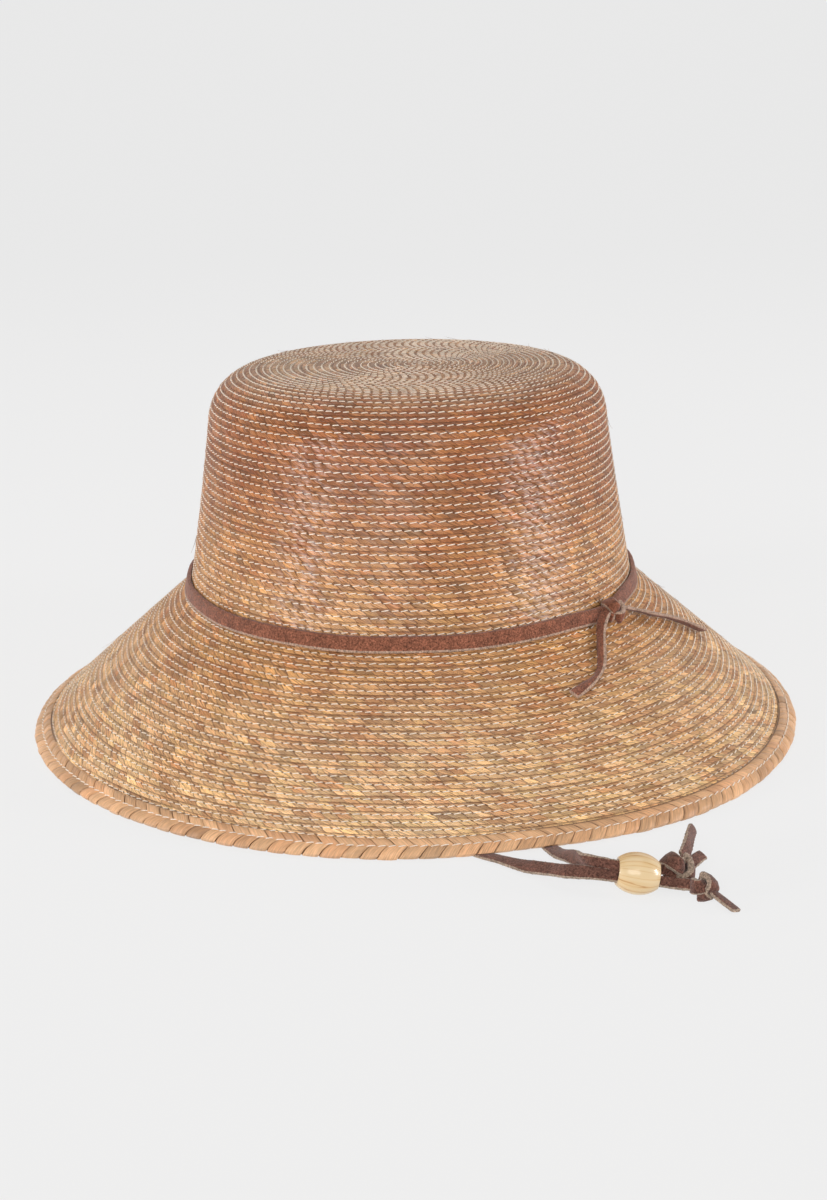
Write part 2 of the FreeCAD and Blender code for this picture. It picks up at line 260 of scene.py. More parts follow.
# The routes below are in millimetres, as the laces lie on the table.
BEAD_CENTRE = np.array([69.3, -182.3, 7.1])
BEAD_AXIS = unit(np.array([0.985, 0.02, -0.165]))  # from the hat towards the stopper knots
BEAD_SIDE = unit(np.cross(BEAD_AXIS, [0, 0, 1]))
LACE_OFFSET = 0.85  # each lace runs this far to one side of the bead's axis
BEAD_LIFT = np.array([0, 0, 1.45])  # and this far above or below it
UP = (0, 0, 1)


def beside_bead(along, side):
    """A point on one of the two laces by the bead: the left one (side 1) lies nearer and lower."""
    return tuple(BEAD_CENTRE + BEAD_AXIS * along + BEAD_SIDE * (side * LACE_OFFSET) - BEAD_LIFT * side)


LEFT_ROUTE = [
    (-80.5, -3.6, 44.5),
    (-80, -6, 26),
    (-76, -10, 10),
    (-64, -17, 1.0),
    (-43, -33, 1.0),
    (-33, -61, 1.0),
    (-8, -82, 1.0),
    (-3, -112, 1.0),
    (7, -140, 1.0),
    (25, -155, 1.0),
    (38, -168, 2.9),
    beside_bead(-18, 1),
    beside_bead(7.8, 1),
    (88.6, -186, 4.0),
]
RIGHT_ROUTE = [
    (80.5, -3.6, 44.5),
    (80, -6, 26),
    (75, -10, 10),
    (62, -15, 1.0),
    (37, -17, 1.0),
    (13, -31, 1.0),
    (8, -60, 1.0),
    (27, -83, 1.0),
    (36, -109, 1.0),
    (40, -135, 1.0),
    (46, -152.5, 1.0),
    (51, -169, 7.0),
    beside_bead(-14, -1),
    beside_bead(7.8, -1),
    (86, -175.2, 5.7),
]

left_line = cord_line(LEFT_ROUTE)
right_line = cord_line(RIGHT_ROUTE)
# Both laces lie flat under the hat and turn on edge before they enter the bead.
LEAN_BACK, UPRIGHT = (0.02, -0.62, 0.78), (0.02, -1.0, 0.10)
HANGING = [(0, (1, 0, 0)), (0.12, (0.8, 0, 0.3)), (0.22, UP)]
LEFT_UP = HANGING + [(0.755, UP), (0.80, LEAN_BACK), (1, LEAN_BACK)]
RIGHT_UP = HANGING + [(0.745, UP), (0.80, LEAN_BACK), (0.88, UPRIGHT), (1, UPRIGHT)]


def squeezed(share):
    """Width of a chin lace: it is pressed together where it enters the bead."""
    return 1 - 0.24 * np.clip((share - 0.86) / 0.06, 0, 1)


def pressed(share):
    """Thickness of a chin lace: the rim presses it flat, about three quarters of the way along it."""
    return 1 - 0.30 * np.exp(-(((share - 0.74) / 0.035) ** 2))


chin_lace_left = lace_strip("left_chin_lace", left_line, LEFT_UP, 1, widths=squeezed, thicks=pressed)
chin_lace_right = lace_strip("right_chin_lace", right_line, RIGHT_UP, 2, widths=squeezed, thicks=pressed)


def over_brim(x, y, clear):
    """A point that is clear above the brim's upper side, in millimetres."""
    low, high = 0.0, 1.0
    for _ in range(40):
        middle = (low + high) / 2
        half, length = brim_oval(middle)
        outside = (x * MM / half) ** 2 + (y * MM / length) ** 2 > 1
        low, high = (middle, high) if outside else (low, middle)
    return (x, y, BASE_Z / MM * (1 - low) + clear)


FRONT_TAIL_ROUTE = [
    over_brim(72.4, -65.6, 5.6),
    over_brim(69.6, -71.2, 4.4),
    over_brim(68.6, -79.0, 2.6),
    over_brim(68.0, -89.5, 1.9),
    over_brim(62.5, -97.5, 1.8),
    over_brim(56.5, -103.5, 1.9),
]
SIDE_TAIL_ROUTE = [
    over_brim(77.6, -59.6, 5.6),
    over_brim(85.0, -50.5, 3.6),
    over_brim(94.0, -41.5, 3.0),
    over_brim(101.5, -32.0, 2.9),
    over_brim(109.5, -24.5, 2.9),
    over_brim(116.0, -17.5, 2.9),
]
front_tail_line = cord_line(FRONT_TAIL_ROUTE)
side_tail_line = cord_line(SIDE_TAIL_ROUTE)
FRONT_TAIL_UP = [
    (0, (-0.2, -0.5, 0.8)),
    (0.3, (-0.85, -0.25, 0.5)),
    (0.7, (-0.7, -0.3, 0.6)),
    (1, (0.1, -0.45, 0.9)),
]
SIDE_TAIL_UP = [(0, (0.1, 0.3, 0.95)), (1, (0.04, 0.43, 0.9))]
hatband_tail_front = lace_strip("hatband_front_tail", front_tail_line, FRONT_TAIL_UP, 3, 4.2 * MM)
hatband_tail_side = lace_strip("hatband_side_tail", side_tail_line, SIDE_TAIL_UP, 4, 4.0 * MM, 1.4 * MM)

LONG_TAIL_LINE = cord_line([(85, -173.6, 8.2), (88, -166, 9.4), (89.5, -158.5, 9.4), (91.5, -151.5, 8.4)])
SHORT_TAIL_LINE = cord_line([(86.6, -174.6, 5.4), (89, -170.5, 5.9), (92.4, -166.6, 5.6)])
END_TAIL_LINE = cord_line([(92.2, -189, 3.2), (95, -193.4, 1.9), (97.6, -198, 1.3)])


def frayed(share):
    """Width of a torn lace end: it narrows in notches."""
    notches = 0.10 * np.abs(np.sin(share * 26)) + 0.07 * np.sin(share * 61)
    return 0.92 - 0.25 * share + notches


LONG_TAIL_UP = [(0, (0.9, 0.2, 0.5)), (1, (0.85, -0.3, 0.6))]
SHORT_TAIL_UP = [(0, (0.3, -0.4, 1)), (1, (0.2, -0.5, 1))]
END_TAIL_UP = [(0, (0.2, 0.2, 1)), (1, (0.15, 0.2, 1))]
stopper_tail_long = lace_strip(
    "stopper_long_tail", LONG_TAIL_LINE, LONG_TAIL_UP, 5, thick=1.5 * MM, widths=frayed
)
stopper_tail_short = lace_strip("stopper_short_tail", SHORT_TAIL_LINE, SHORT_TAIL_UP, 6, 3.8 * MM)
stopper_tail_end = lace_strip("stopper_end_tail", END_TAIL_LINE, END_TAIL_UP, 7, 3.6 * MM, 1.3 * MM)

# ---- Knots ----


KNOT_LOOPS = 1.75  # of a trefoil: how far its three loops reach, for a middle circle of 1
KNOT_SPAN = 2.6  # its half width in the same measure


def tied_knot(name, centre, half_sizes, turn, strand, seed):
    """An overhand knot pulled tight: a flat strand wound through itself three times."""
    t = np.linspace(0, math.tau, 170)
    x = (np.sin(t) + KNOT_LOOPS * np.sin(2 * t)) / KNOT_SPAN
    y = (np.cos(t) - KNOT_LOOPS * np.cos(2 * t)) / KNOT_SPAN
    thin, wide = strand[1] / 2, strand[0] / 2
    reach = Vector(half_sizes) * 1.04 - Vector((thin, wide * 0.6, thin))
    line = np.stack([x * reach.x, -np.sin(3 * t) * reach.y, y * reach.z], axis=1)
    line = line @ np.array(Matrix.Rotation(math.radians(turn), 3, "Y")).T
    heading = unit(np.gradient(line, axis=0))
    heading[0] = heading[-1] = unit(heading[0] + heading[-1])
    section, cut = band_section(*strand)
    columns, rows = len(line) - 1, len(section)
    rough = np.random.default_rng(seed).normal(0, 0.05 * MM, (columns + 1, rows))
    across = section[None, :, 0] * (1 + 0.06 * np.sin(5 * t))[:, None]
    points = swept(line, heading, unit(line + 1e-9), across, section[None, :, 1] + rough)
    points = points[:-1] + np.array(centre)
    piece = new_mesh(name, points.reshape(-1, 3), ring_faces(columns, rows).tolist())
    set_values(piece, cut=np.tile(cut, columns))
    return piece


def knot_like(node, name, turn, strand, seed):
    """A knot that fills its node's box in the frame."""
    low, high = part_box(node)
    return tied_knot(name, (low + high) / 2, (high - low) / 2, turn, strand, seed)


stopper_knot_right = knot_like("stopper_knot_right", "right_stopper_knot", 25, (5.4 * MM, 2.6 * MM), 11)
stopper_knot_left = knot_like("stopper_knot_left", "left_stopper_knot", -20, (4.7 * MM, 2.3 * MM), 12)
hatband_knot = knot_like("hatband_knot", "hatband_tie", 40, (4.8 * MM, 2.3 * MM), 13)
anchor_knot_left = knot_like("anchor_knot_left", "left_anchor_tie", 0, (3.0 * MM, 1.7 * MM), 14)
anchor_knot_right = knot_like("anchor_knot_right", "right_anchor_tie", 10, (3.0 * MM, 1.7 * MM), 15)

# ---- The hat's outer side ----


TIP_RINGS = 60  # rings on the flat of the tip


def profile_rings():
    """Half width, half length and height of rings from the middle of the tip to the rim."""
    oval = CROWN_BASE_Y / CROWN_BASE_X
    rings = [(r, oval * r, CROWN_TOP_Z) for r in np.linspace(0, CROWN_TOP_X - TOP_ROUND, TIP_RINGS)]
    for angle in np.linspace(0, math.pi / 2, 40)[1:]:
        half = CROWN_TOP_X - TOP_ROUND + TOP_ROUND * math.sin(angle)
        rings.append((half, oval * half, CROWN_TOP_Z - TOP_ROUND * (1 - math.cos(angle))))
    wall_top = CROWN_TOP_Z - TOP_ROUND
    for z in np.linspace(wall_top, BASE_Z, 80)[1:]:
        rings.append((wall_half(z), oval * wall_half(z), z))
    for share in np.linspace(0, 1, 100)[1:]:
        rings.append((*brim_oval(share), BASE_Z * (1 - share)))
    return np.array(rings)


class RingPath:
    """Rings along a line down the hat's outside, by distance along that line."""

    def __init__(self, rings, step, soften):
        mean = np.stack([(rings[:, 0] + rings[:, 1]) / 2, rings[:, 2]], axis=1)
        self.walked = np.concatenate([[0], np.cumsum(np.linalg.norm(np.diff(mean, axis=0), axis=1))])
        self.total = self.walked[-1]
        self.down = np.arange(0, self.total, step)
        columns = [np.interp(self.down, self.walked, rings[:, i]) for i in range(3)]
        kernel = np.ones(2 * soften + 1) / (2 * soften + 1)
        padded = [np.pad(c, soften, mode="reflect", reflect_type="odd") for c in columns]
        self.rings = [np.convolve(c, kernel, mode="valid") for c in padded]
        self.slopes = [np.gradient(c, step) for c in self.rings]

    def point(self, down, angle, out):
        """Points out from the rings, a distance along the line and at an angle from +X."""
        down, angle, out = np.broadcast_arrays(down, angle, out)
        over = np.clip(down - self.down[-1], 0, None)
        a, b, z = [np.interp(down, self.down, r) + over * s[-1] for r, s in zip(self.rings, self.slopes)]
        da, db, dz = [np.interp(down, self.down, s) for s in self.slopes]
        cos, sin = np.cos(angle), np.sin(angle)
        place = np.stack([a * cos, b * sin, z], axis=-1)
        normal = np.stack([-b * dz * cos, -a * dz * sin, a * db * sin**2 + b * da * cos**2], axis=-1)
        return place + unit(normal) * out[..., None]


HAT_RINGS = profile_rings()
PROFILE = RingPath(HAT_RINGS, 0.25 * MM, 10)


def down_to(height):
    """How far down the hat's outside a height is reached."""
    return np.interp(-height, -HAT_RINGS[TIP_RINGS:, 2], PROFILE.walked[TIP_RINGS:])


BASE_DOWN = down_to(BASE_Z)
SLOPE_LENGTH = PROFILE.total - BASE_DOWN
EDGE_DOWN = BASE_DOWN + SLOPE_LENGTH * EDGE_START

ARCH_ANGLE = math.radians(-75)  # where the two chin laces pass under the rim
ARCH_LIFT = 0.3 * MM
ARCH_PINCH = 0.95 * MM  # how much thinner the rim is there, from below
EDGE_THICK = 3.4 * MM
ARCH_REACH = math.radians(11)
SPREAD = 3.5 * MM  # how much further the rim reaches at the front, on the wearer's left
SPREAD_ANGLE, SPREAD_REACH = math.radians(-43), math.radians(28)
TIP_SHIFT = 6.0 * MM  # the braid starts this far to the wearer's left of the middle of the tip
TIP_SHIFT_REACH = 58.0 * MM


def hump(angle, middle, reach):
    """1 at the middle angle, falling off to 0 beyond its reach."""
    turn = (angle - middle + math.pi) % (math.tau) - math.pi
    return np.exp(-((turn / reach) ** 2))


def arch_share(angle):
    """How much of the rim's arch over the chin laces is felt at an angle."""
    return hump(angle, ARCH_ANGLE, ARCH_REACH)


def bend(points, down, angle):
    """The hat's own irregularity: its start is off centre, its rim lifts over the laces and waves."""
    share = np.clip((down - BASE_DOWN) / SLOPE_LENGTH, 0, 1.1)
    arch = ARCH_LIFT * arch_share(angle) * share**3
    wave = 0.25 * MM * (1.8 - np.cos(3 * (angle + 1.22))) * share**2
    bow = 0.5 * MM * np.sin(7 * angle + 0.4) * np.sin(math.pi * np.clip(share, 0, 1))
    spread = SPREAD * hump(angle, SPREAD_ANGLE, SPREAD_REACH) * share**2
    points[..., 2] += arch + wave + bow
    points[..., 1] += spread * math.sin(SPREAD_ANGLE)
    points[..., 0] += spread * math.cos(SPREAD_ANGLE)
    points[..., 0] += TIP_SHIFT * np.clip(1 - (down / TIP_SHIFT_REACH) ** 2, 0, 1) ** 2
    return points


def on_hat(down, angle, out):
    """Points out above the hat's outer side, down from the middle of the tip, at an angle from +X."""
    down = np.maximum(down, 0.05 * MM)
    return bend(PROFILE.point(down, angle, out), *np.broadcast_arrays(down, angle))


# ---- The spiral of braid ----


class Spiral:
    """The braid's path: turns of ROW down the hat, with the ribbon's length walked along them."""

    START_ANGLE = math.radians(120)

    def __init__(self):
        self.turns = np.arange(0.35, EDGE_DOWN / ROW + 2.4, 1 / 240)
        middle = on_hat(self.low_edge(self.turns), self.angle(self.turns), 0.0)
        steps = np.linalg.norm(np.diff(middle, axis=0), axis=1)
        self.walked = np.concatenate([[0], np.cumsum(steps)])

    def low_edge(self, turns):
        return turns * ROW

    def angle(self, turns):
        return self.START_ANGLE + math.tau * turns

    def along(self, down):
        """Length of ribbon from its start to where its lower edge is this far down the hat."""
        return np.interp(down / ROW, self.turns, self.walked)

    def point(self, along, across, out):
        turns = np.interp(along, self.walked, self.turns)
        down = self.low_edge(turns) - BRAID_WIDTH + across
        return on_hat(down, self.angle(turns), out)

    def down(self, along, across):
        return np.interp(along, self.walked, self.turns) * ROW - BRAID_WIDTH + across


SPIRAL = Spiral()


def braid_height(across):
    """Height of the braid's upper side: tilted like a shingle, with a groove along the stitches."""
    tilt = -BRAID_DEPTH * (1 - across / BRAID_WIDTH)
    groove = -GROOVE_DEPTH * np.exp(-(((across - STITCH_ACROSS) / GROOVE_REACH) ** 2))
    return tilt + groove


BRAID_TOP = np.array([0.2, 1.3, 1.9, 2.4, 2.9, 3.4, 4.0, 4.5]) * MM
BRAID_UNDER = np.array([4.62, 3.4, 2.0, 0.3]) * MM


def braid_ribbon(name, start, end, rng):
    """A stretch of the ribbon as a closed solid, with the strand facets shaped in its upper side."""
    lengths = rng.uniform(*FACET, int((end - start) / FACET[0]) + 2)
    ends = start + np.concatenate([[0], np.cumsum(lengths)])
    ends = ends[ends < end - FACET[0]]
    ends = np.append(ends, end)
    facets = len(ends) - 1
    columns = np.stack([ends[:-1], ends[:-1] + VALLEY_REACH, ends[1:] - VALLEY_REACH], axis=1).ravel()
    columns = np.append(columns, end)
    lift = np.repeat(rng.normal(0, FACET_LIFT, facets), 3)
    tilt = np.repeat(rng.normal(FACET_TILT, FACET_TILT, facets), 3) * np.tile([0, 1, -1], facets)
    inside = np.tile([0.0, 1.0, 1.0], facets)
    column_lift = np.append((lift + tilt) * inside - FACET_VALLEY * (1 - inside), -FACET_VALLEY)

    across = np.concatenate([BRAID_TOP, BRAID_UNDER])
    height = np.concatenate([braid_height(BRAID_TOP), braid_height(BRAID_UNDER) - BRAID_THICK])
    height[len(BRAID_TOP) - 1] -= 0.06 * MM
    height[len(BRAID_TOP)] += 0.22 * MM
    top = np.concatenate([np.ones(len(BRAID_TOP)), 0.4 * np.ones(len(BRAID_UNDER))])
    rows = len(across)
    along = columns[:, None] + FACET_SLANT * (across[None, :] - STITCH_ACROSS)
    knots = np.arange(start, end + WOBBLE_STEP, WOBBLE_STEP)
    wobble = np.interp(columns, knots, rng.normal(0, WOBBLE, len(knots)))[:, None]
    wobble = wobble + rng.normal(0, 0.2 * WOBBLE, (len(columns), 1))
    edge = np.clip((across - HIDDEN) / ROW, 0, 1)[None, :] * wobble
    out = height[None, :] + column_lift[:, None] * top[None, :]
    points = SPIRAL.point(along, across[None, :] + edge, out)
    piece = new_mesh(name, points.reshape(-1, 3), tube_faces(len(columns), rows), STRAW)

    strand_tones = rng.normal(0, 1, (STRANDS, facets // 60 + 2))
    k = np.arange(facets)
    tones = strand_tones[k % STRANDS, (k + 9 * (k % STRANDS)) // 60] * 0.6 + rng.normal(0, 0.7, facets)
    hues = rng.uniform(0, 1, facets)
    # Painted shade: dark in some of the dips between facets, and on the ribbon's hidden upper part and underside,
    # under the row above.
    shade = np.ones(along.shape)
    shade[::3] = np.where(rng.uniform(size=(facets + 1, 1)) < 0.5, 0.05, 0.50)
    under_lip = (across < HIDDEN + 0.05 * MM) | (np.arange(rows) >= len(BRAID_TOP))
    shade[:, under_lip] = np.minimum(shade[:, under_lip], 0.40)
    set_values(
        piece,
        tone=np.append(np.repeat(tones, 3 * rows), [0, 0]),
        hue=np.append(np.repeat(hues, 3 * rows), [0, 0]),
        strand=np.stack(np.broadcast_arrays(columns[:, None], across[None, :], 0.0), axis=-1),
        down=SPIRAL.down(along, across[None, :]) / PROFILE.total,
        shade=shade,
    )
    return piece


# ---- Stitches ----

STITCH_RINGS = np.array([0.0, 0.22, 0.78, 1.0])
STITCH_RISE = np.array([-0.26, 0.17, 0.17, -0.26]) * MM
STITCH_SLANT = 0.50 * MM  # the stitch's far end lies this much higher up the row
UNEVEN = 0.07 * MM  # spread of the stitches' starts and lengths


def stitch_tubes(starts, lengths, slants, sides, place):
    """Short bent tubes of thread. place(along, across, out) puts a point of the thread on the hat."""
    angle = (np.arange(sides) + 0.5) * math.tau / sides
    share = STITCH_RINGS[None, :, None]
    radius = THREAD_RADIUS * np.array([0.6, 1.0, 1.0, 0.6])[None, :, None]
    along = starts[:, None, None] + lengths[:, None, None] * share + 0 * angle
    across = slants[:, None, None] * (0.5 - share) + radius * np.cos(angle)
    out = STITCH_RISE[None, :, None] + radius * np.sin(angle)
    tubes, caps = many_tubes(len(starts), len(STITCH_RINGS), sides)
    return place(along, across, out).reshape(-1, 3), tubes + caps


def joined(parts):
    """Several (points, faces) meshes as one."""
    points, faces, first = [], [], 0
    for part_points, part_faces in parts:
        points.append(part_points)
        faces.extend([[first + i for i in face] for face in part_faces])
        first += len(part_points)
    return np.concatenate(points), faces


def row_stitches(name, start, end, rng):
    """The line of stitches along a stretch of the spiral, on the outside and on the inside."""
    parts = []
    for sides, surface, facing in ((4, 0.0, 1), (3, -BRAID_THICK, -1)):
        first, last = math.ceil(start / STITCH_PITCH), math.floor(end / STITCH_PITCH)
        starts = (np.arange(first, last) + (0 if facing > 0 else 0.5)) * STITCH_PITCH
        starts = starts + rng.normal(0, UNEVEN, len(starts))
        lengths = rng.normal(STITCH_LENGTH, UNEVEN, len(starts))
        slants = rng.normal(STITCH_SLANT, 0.12 * MM, len(starts))
        knots = starts[::9]
        shift = np.interp(starts, knots, rng.normal(0, 0.10 * MM, len(knots)))
        level = braid_height(STITCH_ACROSS) + surface

        def place(along, across, out):
            middle = STITCH_ACROSS + shift[:, None, None]
            return SPIRAL.point(along, middle + across, level + facing * out)

        parts.append(stitch_tubes(starts, lengths, slants, sides, place))
    return new_mesh(name, *joined(parts), THREAD)


# ---- Materials ----


class Paint:
    """A node material, built up one node at a time."""

    def __init__(self, name):
        self.material = bpy.data.materials.new(name)
        self.material.use_nodes = True
        self.tree = self.material.node_tree
        self.tree.nodes.clear()

    def node(self, kind, inputs=None, **settings):
        made = self.tree.nodes.new("ShaderNode" + kind)
        for key, value in settings.items():
            setattr(made, key, value)
        for key, value in (inputs or {}).items():
            socket = made.inputs[key]
            if isinstance(value, bpy.types.NodeSocket):
                self.tree.links.new(value, socket)
            else:
                socket.default_value = value
        return made

    def attribute(self, name, output="Fac"):
        return self.node("Attribute", attribute_name=name).outputs[output]

    def math(self, operation, a, b=0.0, clamp=False):
        return self.node("Math", {0: a, 1: b}, operation=operation, use_clamp=clamp).outputs[0]

    def noise(self, vector, scale, detail=3.0, roughness=0.55):
        inputs = {"Vector": vector, "Scale": scale, "Detail": detail, "Roughness": roughness}
        return self.node("TexNoise", inputs).outputs["Fac"]

    def fit(self, value, low, high, to_low, to_high):
        inputs = {"Value": value, "From Min": low, "From Max": high, "To Min": to_low, "To Max": to_high}
        return self.node("MapRange", inputs).outputs["Result"]

    def place(self):
        return self.node("TexCoord").outputs["Object"]

    def mix(self, share, a, b):
        return self.colour_mix("MIX", share, a, b)

    def colour_mix(self, kind, share, a, b):
        made = self.node("Mix", data_type="RGBA", blend_type=kind)
        for index, value in ((0, share), (6, a), (7, b)):
            if isinstance(value, bpy.types.NodeSocket):
                self.tree.links.new(value, made.inputs[index])
            else:
                made.inputs[index].default_value = value
        return made.outputs[2]

    def scaled(self, colour, factor):
        """colour times a number, as a shade."""
        shade = self.node("CombineColor", {0: factor, 1: factor, 2: factor}).outputs[0]
        return self.colour_mix("MULTIPLY", 1.0, colour, shade)

    def ramp(self, value, stops):
        made = self.node("ValToRGB", {"Fac": value})
        elements = made.color_ramp.elements
        elements[0].position, elements[0].color = stops[0][0], (*stops[0][1], 1)
        elements[1].position, elements[1].color = stops[-1][0], (*stops[-1][1], 1)
        for position, colour in stops[1:-1]:
            elements.new(position).color = (*colour, 1)
        return made.outputs["Color"]

    def shaded(self, colour, value, low, high, to_low, to_high):
        """colour made darker or paler as value goes from low to high."""
        return self.scaled(colour, self.fit(value, low, high, to_low, to_high))

    def tinted(self, colour, share, tint):
        """A share of colour is multiplied by a tint."""
        return self.mix(share, colour, self.colour_mix("MULTIPLY", 1.0, colour, rgb(*tint)))

    def toned(self, colour, strength):
        """colour made darker or paler by the strand's own tone."""
        tone = self.math("MULTIPLY", self.attribute("tone"), strength)
        return self.scaled(colour, self.math("ADD", tone, 1.0))

    def bump(self, height, distance):
        return self.node("Bump", {"Height": height, "Distance": distance}).outputs["Normal"]

    def finish(self, colour, roughness, normal=None, **extra):
        inputs = {"Base Color": colour, "Roughness": roughness}
        inputs.update({key.replace("_", " "): value for key, value in extra.items()})
        if normal is not None:
            inputs["Normal"] = normal
        shader = self.node("BsdfPrincipled", inputs)
        self.node("OutputMaterial", {"Surface": shader.outputs[0]})
        return self.material


def rgb(red, green, blue):
    return (red, green, blue, 1.0)


def strand_lines(paint, slant):
    """Fine lines that run the way the strand's fibres do, as two noises: soft and sharp."""
    parts = paint.node("SeparateXYZ", {0: paint.attribute("strand", "Vector")})
    lean = paint.math("MULTIPLY", parts.outputs["Y"], slant)
    across_fibre = paint.math("SUBTRACT", parts.outputs["X"], lean)
    sources = (across_fibre, parts.outputs["Y"], paint.attribute("hue"))
    noises = []
    for scales, detail in (((2200.0, 260.0, 57.0), 4.0), ((3900.0, 140.0, 31.0), 2.0)):
        axes = [paint.math("MULTIPLY", value, scale) for value, scale in zip(sources, scales)]
        vector = paint.node("CombineXYZ", dict(enumerate(axes))).outputs[0]
        noises.append(paint.noise(vector, 1.0, detail))
    return noises


def stitch_hole_shade(paint):
    """Painted shade in the small holes between one stitch and the next: 1 there, 0 elsewhere."""
    parts = paint.node("SeparateXYZ", {0: paint.attribute("strand", "Vector")})
    gap = (STITCH_PITCH - STITCH_LENGTH) / 2
    turns = paint.math("MULTIPLY", paint.math("ADD", parts.outputs["X"], gap), 1 / STITCH_PITCH)
    off = paint.math("SUBTRACT", turns, paint.math("ROUND", turns))
    along = paint.math("MULTIPLY", off, STITCH_PITCH / HOLE_RADIUS)
    off_line = paint.math("SUBTRACT", parts.outputs["Y"], STITCH_ACROSS)
    across = paint.math("MULTIPLY", off_line, 1 / HOLE_RADIUS)
    squares = [paint.math("MULTIPLY", part, part) for part in (along, across)]
    away = paint.math("ADD", *squares)
    return paint.fit(away, 0.6, 1.2, 0.85, 0.0)


# TIP is paler and greyer than the crown: partly the straw's own colour, partly a painted reflection of the light
# from above on the flat top.
TIP, CROWN_UPPER, CROWN_MID = (0.63, 0.39, 0.235), (0.45, 0.175, 0.062), (0.60, 0.285, 0.110)
CROWN_LOW, BRIM_UPPER = (0.72, 0.39, 0.165), (0.66, 0.335, 0.125)
BRIM_MID, BRIM_LOW = (0.79, 0.485, 0.24), (0.92, 0.605, 0.315)
STRAW_STOPS = [  # colour by the share of the way from the middle of the tip to the rim
    (0.0, TIP),
    (0.24, TIP),
    (0.33, CROWN_UPPER),
    (0.43, CROWN_UPPER),
    (0.53, CROWN_MID),
    (0.63, CROWN_LOW),
    (0.70, BRIM_UPPER),
    (0.82, BRIM_MID),
    (0.95, BRIM_LOW),
]


def straw_paint():
    """Waxed palm leaf: each strand has its own tone and hue, with fine fibres, stains, and painted shade in the
    dips between facets, under each row's lip and in the stitch holes.
    """
    paint = Paint("palm straw")
    place = paint.place()
    hue, stain = paint.attribute("hue"), rgb(0.10, 0.034, 0.012)
    colour = paint.ramp(paint.attribute("down"), STRAW_STOPS)
    soft, sharp = strand_lines(paint, FACET_SLANT)
    colour = paint.toned(colour, 0.16)
    colour = paint.tinted(colour, paint.fit(hue, 0.62, 1.0, 0.0, 0.75), (0.80, 0.58, 0.46))
    colour = paint.tinted(colour, paint.fit(hue, 0.0, 0.36, 0.9, 0.0), (1.17, 1.19, 1.04))
    patches = paint.noise(place, 34.0, 4.0, 0.6)
    colour = paint.tinted(colour, paint.fit(patches, 0.44, 0.68, 0.0, 0.75), (0.78, 0.64, 0.52))
    colour = paint.shaded(colour, paint.noise(place, 120.0, 3.0, 0.6), 0.35, 0.70, 1.06, 0.90)
    colour = paint.shaded(colour, soft, 0.37, 0.63, 1.34, 0.56)
    colour = paint.mix(paint.fit(soft, 0.32, 0.50, 0.15, 0.0), colour, rgb(0.76, 0.56, 0.36))
    colour = paint.mix(paint.fit(sharp, 0.56, 0.61, 0.0, 0.80), colour, stain)
    specks = paint.fit(paint.noise(place, 1500.0, 1.0), 0.70, 0.75, 0.0, 0.8)
    colour = paint.mix(specks, colour, rgb(0.08, 0.03, 0.015))
    # Painted shade in the stitch holes.
    colour = paint.mix(stitch_hole_shade(paint), colour, rgb(0.10, 0.04, 0.02))
    # Painted shade from the shade attribute: the dips between facets and the part under the row above turn dark
    # brown.
    hidden = paint.math("SUBTRACT", 1.0, paint.attribute("shade"), clamp=True)
    colour = paint.mix(hidden, colour, rgb(0.11, 0.036, 0.012))
    roughness = paint.fit(soft, 0.3, 0.7, 0.50, 0.64)
    height = paint.math("ADD", soft, paint.math("MULTIPLY", sharp, 0.5))
    wax = {"Coat_Weight": 0.22, "Coat_IOR": 2.4, "Coat_Roughness": 0.30}
    wax["Coat_Normal"] = paint.bump(height, 0.04 * MM)
    normal = paint.bump(height, 0.14 * MM)
    return paint.finish(colour, roughness, normal, Specular_IOR_Level=0.1, **wax)


def edge_paint():
    """The rim's palm leaf: plainer and paler than the rows, with painted shade where its cushions meet and on the
    layers seen between them.
    """
    paint = Paint("palm edge braid")
    soft, sharp = strand_lines(paint, 0.0)
    colour = paint.toned(rgb(0.70, 0.415, 0.22), 0.11)
    redder = paint.fit(paint.attribute("hue"), 0.6, 1.0, 0.0, 0.5)
    colour = paint.tinted(colour, redder, (0.90, 0.74, 0.66))
    colour = paint.shaded(colour, paint.noise(paint.place(), 40.0, 4.0, 0.6), 0.4, 0.7, 1.06, 0.84)
    colour = paint.shaded(colour, soft, 0.34, 0.66, 1.18, 0.74)
    colour = paint.mix(paint.fit(sharp, 0.64, 0.70, 0.0, 0.5), colour, rgb(0.15, 0.060, 0.028))
    # Painted shade from the shade attribute.
    colour = paint.scaled(colour, paint.attribute("shade"))
    roughness = paint.fit(soft, 0.3, 0.7, 0.42, 0.60)
    gloss = {"Specular_IOR_Level": 0.3, "Coat_Weight": 0.25, "Coat_Roughness": 0.38}
    return paint.finish(colour, roughness, paint.bump(soft, 0.14 * MM), **gloss)


def thread_paint():
    paint = Paint("sewing thread")
    place = paint.place()
    ply = paint.noise(place, 2600.0, 2.0)
    stops = [(0.30, (0.74, 0.62, 0.48)), (0.50, (0.95, 0.86, 0.73)), (0.70, (0.98, 0.93, 0.84))]
    colour = paint.shaded(paint.ramp(ply, stops), paint.noise(place, 60.0), 0.35, 0.7, 1.05, 0.82)
    return paint.finish(colour, paint.fit(ply, 0.3, 0.7, 0.65, 0.8), paint.bump(ply, 0.08 * MM))


